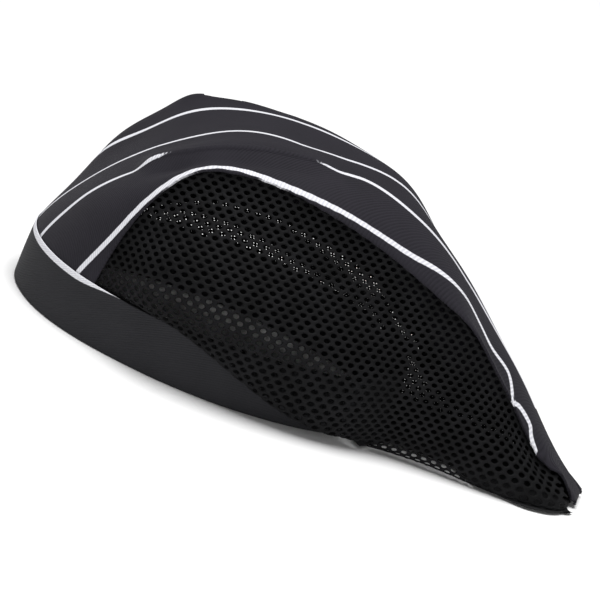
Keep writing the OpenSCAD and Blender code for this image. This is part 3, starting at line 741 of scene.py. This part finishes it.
def netRows(s, far):  # points at whole rows up to the fold and at finer rows above it
    start = np.zeros(1)
    hold = (1 - ease(s / bagSizes["hangStart"]))[:, None]
    rows = []
    for row, (line, first) in enumerate(zip(netLow(s), netLow(start))):
        front = seam(np.array([bagSizes["topStart"] * rowShare(row)]), far)
        rows.append(line + (hold * (front - first) if row > 1 else 0))
    rising = []
    for f in risingAt:
        row = bagSizes["foldRow"] + f * bagSizes["rows"]
        front = seam(np.array([bagSizes["topStart"] * rowShare(row)]), far)
        rest = hold * (front - netRise(start, np.full(1, f), far))
        rising.append(netRise(s, np.full(len(s), f), far) + rest)
    return rows, rising


def lapT(w, far):
    lap = netSizes["lap"] * (1 - 0.2 * ease((w - 1.7) / 0.3))
    if not far:
        return 1 - lap / np.linalg.norm(seam(w, 0) - middle(w), axis=-1)
    foot = (1 - ease(w / 0.6)) * (1 - crownSizes["footShare"]) * crownSizes["footHalf"]
    hanging = np.linalg.norm(seam(w, 1) - shoulder(w), axis=-1) + foot
    return 1 - (1 - crownSizes["shoulderShare"]) * lap / hanging


netGrid = {"heldColumns": 14, "columns": 110, "end": 0.985, "lapUnder": 4.0, "lapGap": 0.3, "tableGap": 0.1,
           "middle": (30, [10, 100])}


def makeNetPanel(name, far):
    held = np.linspace(0, bagSizes["hangStart"], netGrid["heldColumns"], endpoint=False)
    s = np.concatenate([held, np.linspace(bagSizes["hangStart"], netGrid["end"], netGrid["columns"])])
    rows, rising = netRows(s, far)
    rear = s > bagSizes["rearShare"]
    inwards = bag(s) - outward(s) * netGrid["lapUnder"]
    lapZ = underSizes["floorGap"] + underSizes["cloth"] + netSizes["cloth"] + netGrid["lapGap"]
    lapUnder = atHeight(inwards, lapZ)
    rows[4] = np.where(rear[:, None], lapUnder, rows[4])
    knots = np.stack(rows + [rising[3]], 0)
    spots = np.array([0, 1, 1.5, 2, 2.35, 2.7, 3, 3.5, 4, 4.35, 4.7, 5, 5.35, 5.7, 6])
    lowPart = throughRows(knots, spots)
    w = topW(s)
    lapRow = crownHalf(w, lapT(w, far), far)
    grid = np.concatenate([lowPart, np.stack(rising), lapRow[None]], 0)
    lastRow = bagSizes["foldRow"] + bagSizes["rows"]
    rowAt = np.concatenate([spots, bagSizes["foldRow"] + risingAt * bagSizes["rows"], [lastRow]])
    edgeW = bagSizes["topStart"] * np.clip(rowShare(rowAt), 0, 1)
    column = crownHalf(edgeW, lapT(edgeW, far), far)
    footXY = oval(crownSizes["footHalf"] - sewing["lap"], seamIn)
    column[:2] = [[footXY[0], footXY[1], tuckZ], [footXY[0], footXY[1], overEdge]]
    grid = np.concatenate([column[:, None], grid], 1)
    lowest = netSizes["cloth"] + netGrid["tableGap"]
    grid[..., 2] = np.maximum(grid[..., 2], lowest)  # nothing under the table
    rear = np.concatenate([[False], rear])
    if far:
        grid = tailPinch(grid * [1, -1, 1])
    normal = unit(np.cross(np.gradient(grid, axis=1), np.gradient(grid, axis=0))) * (-1 if far else 1)
    nRow, nCol = grid.shape[:2]
    index = np.arange(nRow * nCol).reshape(nRow, nCol)
    faces = []
    for r in range(nRow - 1):
        for c in range(nCol - 1):
            behind = rear[c] and rear[c + 1]
            if (not rear[c + 1] and not rear[c]) or (behind and rowAt[r] >= 4) or rowAt[r] >= 5:
                ring = [index[r, c], index[r, c + 1], index[r + 1, c + 1], index[r + 1, c]]
                faces.append([int(q) for q in (ring[::-1] if far else ring)])
    mesh = bpy.data.meshes.new(name)
    mesh.from_pydata((grid.reshape(-1, 3) * mm).tolist(), [], faces)
    mesh.attributes.new("outward", "FLOAT_VECTOR", "POINT").data.foreach_set("vector", normal.ravel())
    panel = addObject(name, mesh)
    return panel, flatten(panel, index[netGrid["middle"]])


def flatten(panel, ends):  # unwrap to true size, turned by the line between two points of a middle row
    mesh = panel.data
    bpy.ops.object.select_all(action="DESELECT")
    panel.select_set(True)
    bpy.context.view_layer.objects.active = panel
    mesh.uv_layers.new(name="flat")
    bpy.ops.object.mode_set(mode="EDIT")
    bpy.ops.mesh.select_all(action="SELECT")
    bpy.ops.uv.unwrap(method="ANGLE_BASED", margin=0.0)
    bpy.ops.object.mode_set(mode="OBJECT")
    layer = mesh.uv_layers["flat"].data
    uv = np.empty(len(mesh.loops) * 2)
    layer.foreach_get("uv", uv)
    uv = uv.reshape(-1, 2)
    corner = np.empty(len(mesh.loops), int)
    mesh.loops.foreach_get("vertex_index", corner)
    place = np.zeros((len(mesh.vertices), 2))
    place[corner] = uv
    quads = uv.reshape(-1, 4, 2)
    d1, d2 = quads[:, 2] - quads[:, 0], quads[:, 3] - quads[:, 1]
    flatArea = np.abs(d1[:, 0] * d2[:, 1] - d1[:, 1] * d2[:, 0]).sum() / 2
    trueArea = sum(q.area for q in mesh.polygons)
    lengthwise = place[ends[1]] - place[ends[0]]
    angle = -math.atan2(lengthwise[1], lengthwise[0]) + math.radians(netSizes["turn"])
    spin = np.array([[math.cos(angle), -math.sin(angle)], [math.sin(angle), math.cos(angle)]])
    uv = uv @ spin.T * math.sqrt(trueArea / flatArea)
    uv -= (uv.min(0) + uv.max(0)) / 2
    layer.foreach_set("uv", uv.ravel())
    return float(np.ptp(uv[:, 1])), float(np.ptp(uv[:, 0])), float(trueArea)


def startTree(name, wanted, made):
    tree = bpy.data.node_groups.new(name, "GeometryNodeTree")
    for kind, keys in wanted.items():
        for key in keys:
            tree.interface.new_socket(key, in_out="INPUT", socket_type="NodeSocket" + kind)
    tree.interface.new_socket(made, in_out="OUTPUT", socket_type="NodeSocketGeometry")
    return tree, addNode(tree, "NodeGroupInput").outputs


def endTree(tree, made, passing, material):  # smooth, in its material, without the passing attribute
    for kind, inputs in (("RemoveAttribute", {"Name": passing}), ("SetShadeSmooth", {}),
                         ("RealizeInstances", {}), ("SetMaterial", {"Material": material})):
        made = addNode(tree, "GeometryNode" + kind, {"Geometry": made, **inputs})
    addNode(tree, "NodeGroupOutput", {0: made})
    return tree


# Geometry Nodes net: a field of six-sided holes laid on a panel by its flat map
netMarks = {"sureEdge": 0.99, "merge": 0.002, "tailFrom": 0.06, "tailTo": 0.2}


def netTree():
    tree, given = startTree("hexNet", {
        "Geometry": ["Panel"], "Int": ["Rounding"], "Material": ["Yarn"],
        "Float": ["Length", "Width", "Pitch", "Row Step", "Hole", "Squeeze", "Tail Share", "Thickness",
                  "Sink"]}, "Net")
    spot = addNode(tree, "GeometryNodeInputPosition")
    axes = addNode(tree, "ShaderNodeSeparateXYZ", {0: spot})
    edge = addNode(tree, "GeometryNodeInputNamedAttribute", {"Name": "edge"}, data_type="FLOAT")
    beside = addNode(tree, "GeometryNodeInputMeshEdgeNeighbors")
    around = addNode(tree, "GeometryNodeInputMeshVertexNeighbors").outputs["Face Count"]
    single, bareEdge, barePoint = [
        addNode(tree, "FunctionNodeCompare", {2: count, 3: sought}, data_type="INT", operation="EQUAL")
        for count, sought in ((beside, 1), (beside, 0), (around, 0))]
    border = addNode(tree, "GeometryNodeFieldOnDomain", {0: single}, data_type="BOOLEAN", domain="EDGE")
    toTail = addNode(tree, "ShaderNodeMapRange",
                     {"From Min": netMarks["tailFrom"], "From Max": netMarks["tailTo"], "To Min": 1.0,
                      "To Max": given["Tail Share"]})
    # each number of the net, made from the ones before it
    sums = {**dict(given.items()), "x": axes.outputs["X"], "y": axes.outputs["Y"], "edge": edge,
            "border": border, "toTail": toTail}
    for name, operation, a, b in (
            ("halfPitch", "MULTIPLY", "Pitch", 0.5), ("slant", "DIVIDE", "halfPitch", "Row Step"),
            ("lean", "MULTIPLY", "Width", "slant"), ("long", "ADD", "Length", "lean"),
            ("inLength", "DIVIDE", "long", "Pitch"), ("columns", "FLOOR", "inLength", 0.0),
            ("inWidth", "DIVIDE", "Width", "Row Step"), ("rows", "FLOOR", "inWidth", 0.0),
            ("sizeX", "MULTIPLY", "columns", "Pitch"), ("sizeY", "MULTIPLY", "rows", "Row Step"),
            ("pointsX", "ADD", "columns", 1.0), ("pointsY", "ADD", "rows", 1.0),
            ("slide", "MULTIPLY", "y", "slant"), ("lengthwise", "DIVIDE", "x", "Length"),
            ("open", "MULTIPLY", "Hole", "toTail"), ("rim", "MAXIMUM", "edge", "border"),
            ("square", "MULTIPLY", "edge", "edge"), ("within", "MINIMUM", "square", 1.0),
            ("left", "SUBTRACT", 1.0, "within"), ("bow", "SQRT", "left", 0.0),
            ("half", "MULTIPLY", "Thickness", 0.5), ("bulge", "MULTIPLY", "bow", "half"),
            ("over", "SUBTRACT", "bulge", "Sink"), ("hollow", "MULTIPLY", "bulge", -1.0),
            ("under", "SUBTRACT", "hollow", "Sink")):
        sums[name] = addNode(tree, "ShaderNodeMath",
                             {0: sums.get(a, a), 1: sums.get(b, b)}, operation=operation)
    tree.links.new(sums["lengthwise"].outputs[0], toTail.inputs["Value"])
    grid = addNode(tree, "GeometryNodeMeshGrid",
                   {"Size X": sums["sizeX"], "Size Y": sums["sizeY"], "Vertices X": sums["pointsX"],
                    "Vertices Y": sums["pointsY"]})
    slide = addNode(tree, "ShaderNodeCombineXYZ", {"X": sums["slide"]})
    leaned = addNode(tree, "GeometryNodeSetPosition", {"Geometry": grid, "Offset": slide})
    split = addNode(tree, "GeometryNodeTriangulate", {"Mesh": leaned}, quad_method="SHORTEST_DIAGONAL")
    cells = addNode(tree, "GeometryNodeDualMesh", {"Mesh": split})
    # where each point of the flat net lies on the panel, and which way is out there
    flatMap, away = [addNode(tree, "GeometryNodeInputNamedAttribute",
                             {"Name": name}, data_type="FLOAT_VECTOR") for name in ("flat", "outward")]
    onPanel, facing = [addNode(tree, "GeometryNodeSampleUVSurface",
                               {"Mesh": given["Panel"], "Value": value, "UV Map": flatMap,
                                "Sample UV": spot}, data_type="FLOAT_VECTOR")
                       for value in (spot, away)]
    off = addNode(tree, "FunctionNodeBooleanMath", {0: onPanel.outputs["Is Valid"]}, operation="NOT")
    kept = addNode(tree, "GeometryNodeDeleteGeometry",
                   {"Geometry": cells, "Selection": off}, domain="POINT")
    lifted = addNode(tree, "GeometryNodeExtrudeMesh",
                     {"Mesh": kept, "Offset Scale": 0.0, "Individual": True}, mode="FACES")
    top = lifted.outputs["Top"]
    shrunk = addNode(tree, "GeometryNodeScaleElements",
                     {"Geometry": lifted, "Selection": top, "Scale": sums["open"]}, domain="FACE")
    squeezed = addNode(tree, "GeometryNodeScaleElements",
                       {"Geometry": shrunk, "Selection": top, "Scale": given["Squeeze"],
                        "Axis": (1.0, 0.0, 0.0)}, domain="FACE", scale_mode="SINGLE_AXIS")
    holed = addNode(tree, "GeometryNodeDeleteGeometry",
                    {"Geometry": squeezed, "Selection": top}, domain="FACE", mode="ONLY_FACE")
    marked = addNode(tree, "GeometryNodeStoreNamedAttribute",
                     {"Geometry": holed, "Name": "edge", "Value": border}, data_type="FLOAT",
                     domain="POINT")
    rounded = addNode(tree, "GeometryNodeSubdivisionSurface", {"Mesh": marked, "Level": given["Rounding"]})
    sure = addNode(tree, "GeometryNodeDeleteGeometry",
                   {"Geometry": rounded, "Selection": off}, domain="POINT")
    neat = addNode(tree, "GeometryNodeStoreNamedAttribute",
                   {"Geometry": sure, "Name": "edge", "Value": sums["rim"]}, data_type="FLOAT",
                   domain="POINT")
    # what has no yarn left inside it at the panel's edge goes, so that the two layers close on each other
    thin = addNode(tree, "FunctionNodeCompare",
                   {0: edge, 1: netMarks["sureEdge"]}, data_type="FLOAT", operation="GREATER_THAN")
    for domain, chosen in (("FACE", thin), ("EDGE", bareEdge), ("POINT", barePoint)):
        neat = addNode(tree, "GeometryNodeDeleteGeometry",
                       {"Geometry": neat, "Selection": chosen}, domain=domain)
    layers = []
    for height in ("over", "under"):
        raised = addNode(tree, "ShaderNodeVectorMath",
                         {0: facing, "Scale": sums[height]}, operation="SCALE")
        place = addNode(tree, "ShaderNodeVectorMath", {0: onPanel, 1: raised}, operation="ADD")
        layers.append(addNode(tree, "GeometryNodeSetPosition", {"Geometry": neat, "Position": place}))
    layers[1] = addNode(tree, "GeometryNodeFlipFaces", {"Mesh": layers[1]})
    joined = addNode(tree, "GeometryNodeJoinGeometry")
    for layer in layers:
        tree.links.new(layer.outputs[0], joined.inputs[0])
    sewn = addNode(tree, "GeometryNodeMergeByDistance",
                   {"Geometry": joined, "Distance": netMarks["merge"] * mm})
    return endTree(tree, sewn, "edge", given["Yarn"])


def applyTree(source, tree, settings, name):  # run a node tree and keep the result as a plain mesh
    modifier = source.modifiers.new("nodes", "NODES")
    modifier.node_group = tree
    for item in tree.interface.items_tree:
        if item.in_out == "INPUT" and item.name in settings:
            modifier[item.identifier] = settings[item.name]
    source.update_tag()
    depsgraph = bpy.context.evaluated_depsgraph_get()
    mesh = bpy.data.meshes.new_from_object(source.evaluated_get(depsgraph), depsgraph=depsgraph)
    mesh.name = name
    source.modifiers.remove(modifier)
    bpy.data.objects.remove(source)
    return faceOut(addObject(name, mesh))


hexNet = netTree()
nets = {}
for name, far in (("netNear", 0), ("netFar", 1)):
    panel, facts = makeNetPanel(name + "Panel", far)
    cells = netCells[name]
    net = applyTree(panel, hexNet, {
        "Length": facts[1], "Width": facts[0], "Pitch": cells["pitch"] * mm,
        "Row Step": cells["rowStep"] * mm, "Hole": cells["hole"], "Squeeze": cells["squeeze"],
        "Tail Share": cells["tailShare"], "Rounding": cells["rounding"],
        "Thickness": netSizes["cloth"] * mm, "Sink": netSizes["cloth"] / 2 * mm, "Yarn": netYarn}, name)
    nets[name] = (net, facts)
    print(name, "made:", len(net.data.polygons), "faces, flat", [round(q, 3) for q in facts])


# Panel under the tail, from the tuck in the band over its edge and along the table
def makeUnder():
    v = np.linspace(1, -1, 61)
    insets = [seamIn, seamIn, bandSizes["cloth"] / 2, -sewing["edgeGap"]]
    heights = [tuckZ, overEdge, overEdge + sewing["edgeGap"], overEdge - 1]

    def floor(f):
        b = bezier(bagTail, np.array(f))
        q = mix(halfLength + sewing["edgeGap"] + 8, bagEnd[0], f)
        drawn = underSizes["drawIn"] * ease(f / 0.06) * ease((0.5 - f) / 0.15)
        shown = underSizes["shown"] * ease((f - 0.5) / 0.2) * ease((0.97 - f) / 0.06)
        side = -v * (b[1] + sewing["seamGap"]) + (drawn - shown) * ease((-v - 0.5) / 0.5)
        return np.stack([mix(q, b[0], v * v), side, np.full(len(v), underSizes["floorGap"])], -1)

    rows = []
    for inset, z in zip(insets, heights):
        p = oval(halfGirth - np.abs(v) * underSizes["footHalf"], inset)
        rows.append(np.stack([p[:, 0], np.where(v > 0, -p[:, 1], p[:, 1]), np.full(len(v), z)], -1))
    rows.append(atHeight(mix(rows[3], floor(0.0), 0.3), mix(heights[3], underSizes["floorGap"], 0.8)))
    knots = np.stack(rows + [floor(0.0), floor(0.08)])
    spots = np.array([0, 1, 1.4, 1.7, 2, 2.3, 2.6, 3, 3.2, 3.4, 3.6, 3.8, 4, 4.2, 4.4, 4.6, 4.8])
    bend = throughRows(knots, spots)
    base = np.concatenate([bend, np.stack([floor(q) for q in np.linspace(0, 1, 60)])])
    base[..., 2] = np.maximum(base[..., 2], underSizes["floorGap"])
    base = tailPinch(base)
    along, across = runs(base, 0), runs(base, 1)
    inside = np.clip(1 - np.abs(v), 0, 1)
    ripple = 0.5 + 0.5 * np.sin(along / 12 + across / 19)
    base[..., 2] += ease((along - 50) / 20) * ease(inside / 0.3)[None, :] * 0.8 * ripple
    inner = base - gridNormals(base) * underSizes["cloth"]
    piece = makeCloth("underCloth", base, inner, along, across, shadedUnderTwill)
    return piece, gridArea(base), along.max(), across.max()


underCloth, underArea, underLong, underWide = makeUnder()
print("under panel made")

# Geometry Nodes stitches: one small thread on each point of a sewn line
stitchSizes = {"length": 2.2, "step": 3.2, "thread": 0.32, "sink": 0.05}


def stitchTree():
    tree, given = startTree("stitches", {"Geometry": ["Line"], "Float": ["Length", "Radius"],
                                         "Material": ["Thread"]}, "Stitches")
    bead = addNode(tree, "GeometryNodeMeshUVSphere", {"Segments": 8, "Rings": 6, "Radius": given["Radius"]})
    share = addNode(tree, "ShaderNodeMath", {0: given["Length"], 1: given["Radius"]}, operation="DIVIDE")
    half = addNode(tree, "ShaderNodeMath", {0: share, 1: 0.5}, operation="MULTIPLY")
    size = addNode(tree, "ShaderNodeCombineXYZ", {"X": 1.0, "Y": 1.0, "Z": half})
    along = addNode(tree, "GeometryNodeInputNamedAttribute", {"Name": "along"}, data_type="FLOAT_VECTOR")
    turn = addNode(tree, "FunctionNodeAlignRotationToVector", {"Vector": along}, axis="Z")
    placed = addNode(tree, "GeometryNodeInstanceOnPoints",
                     {"Points": given["Line"], "Instance": bead, "Rotation": turn, "Scale": size})
    return endTree(tree, placed, "along", given["Thread"])


def sewnLines():  # round the hem inside the band, and down the lining's two joins
    step = 2 * halfGirth / round(2 * halfGirth / stitchSizes["step"])
    arc = np.arange(-halfGirth, halfGirth - 0.1, step)
    hem, ahead = [atHeight(ovalRound(arc + on, rimWidth + stitchSizes["sink"]), bandSizes["hem"] - 2)
                  for on in (0, 0.5)]
    z = np.arange(bandSizes["hem"] + 2, 28, stitchSizes["step"])
    face = liningIn + liningSizes["cloth"] + stitchSizes["sink"]
    joins = [atHeight(ovalRound(np.full(len(z), side * (joinArc - 2)), face), z) for side in (1, -1)]
    points = np.concatenate([hem] + joins)
    along = np.concatenate([unit(ahead - hem), np.tile([0.0, 0.0, 1.0], (2 * len(z), 1))])
    mesh = bpy.data.meshes.new("sewnLines")
    mesh.from_pydata((points * mm).tolist(), [], [])
    mesh.attributes.new("along", "FLOAT_VECTOR", "POINT").data.foreach_set("vector", along.ravel())
    return addObject("sewnLines", mesh)


bandStitches = applyTree(sewnLines(), stitchTree(), {
    "Length": stitchSizes["length"] * mm, "Radius": stitchSizes["thread"] / 2 * mm,
    "Thread": sewingThread}, "bandStitches")
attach(bandStitches, "root")
print("stitches made:", len(bandStitches.data.polygons), "faces")

# What stays from the solids gets its own finish
for node, material in (("band_stiffener", interlining), ("rear_elastic", elasticWeb)):
    shown = bpy.data.objects[node]
    shown.data.materials.clear()
    shown.data.materials.append(material)

# Which solid each piece stands for, and the cloth it was cut from
netNear, netFar = nets["netNear"][0], nets["netFar"][0]
dressed = [(bandCloth, "band_outer", "band_twill"), (liningCloth, "band_lining", "lining"),
           (casingCloth, "elastic_casing", "lining"), (crownCloth, "crown_panel", "crown_twill"),
           (underCloth, "under_panel", "crown_twill"), (netNear, "net_panel_near", "net"),
           (netFar, "net_panel_far", "net")]
for piece, node, slot in dressed:
    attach(piece, "root")
    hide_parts(node)

# Floor, light and camera
stage = {"world": 0.14, "floor": "#fafafa"}
bpy.ops.mesh.primitive_plane_add(size=8.0, location=(0, 0, 0))
floor = bpy.context.object
floor.name = "floor"
# White paper: matt, without a gleam, and so pale that only the soft shadow shows on it
paper = bpy.data.materials.new("whitePaper")
paper.use_nodes = True
setInputs(paper.node_tree.nodes["Principled BSDF"],
          {"Base Color": hexColour(stage["floor"]), "Roughness": 1.0, "Specular IOR Level": 0.0})
floor.data.materials.append(paper)

world = bpy.data.worlds.new("studio")
scene.world = world
world.use_nodes = True
sky = world.node_tree
sky.nodes.clear()
path = addNode(sky, "ShaderNodeLightPath")
seen = addNode(sky, "ShaderNodeMath",
               {0: path.outputs["Is Camera Ray"], 1: path.outputs["Is Transmission Ray"]},
               operation="MAXIMUM")
glow = addNode(sky, "ShaderNodeMapRange", {"Value": seen, "To Min": stage["world"], "To Max": 1.0})
air = addNode(sky, "ShaderNodeBackground", {"Color": (1, 1, 1, 1), "Strength": glow})
addNode(sky, "ShaderNodeOutputWorld", {"Surface": air})

lamps = {"topBox": {"watts": 78.0, "size": (1.9, 1.9), "at": (-0.2, 0.0, 2.5)},
         "lowFill": {"watts": 6.0, "size": (1.6, 0.4), "at": (0.5, -1.6, 0.35)}}
for name, kind in lamps.items():
    lamp = bpy.data.lights.new(name, "AREA")
    lamp.shape, lamp.energy = "RECTANGLE", kind["watts"]
    lamp.size, lamp.size_y = kind["size"]
    box = addObject(name, lamp)
    box.location = kind["at"]
    box.rotation_euler = (Vector((0.04, 0, 0.05)) - Vector(kind["at"])).to_track_quat("-Z", "Y").to_euler()
    box.visible_camera = False

view = {"aim": (0.0385, 0.0, 0.0428), "elevation": 18.4, "roll": 22.5, "distance": 10.0, "span": 0.3024}
tilt, roll = math.radians(view["elevation"]), math.radians(view["roll"])
back = Vector((0, -math.cos(tilt), math.sin(tilt)))
level = Vector((0, math.sin(tilt), math.cos(tilt)))
right = Vector((1, 0, 0)) * math.cos(roll) + level * math.sin(roll)
up = level * math.cos(roll) - Vector((1, 0, 0)) * math.sin(roll)
lens = bpy.data.cameras.new("camera")
lens.sensor_width = 36.0
lens.lens = lens.sensor_width * view["distance"] / view["span"]
lens.clip_end = 60.0
camera = addObject("camera", lens)
place = Matrix((right, up, back)).transposed().to_4x4()
place.translation = Vector(view["aim"]) + back * view["distance"]
camera.matrix_world = place
scene.camera = camera

print("scene ready")
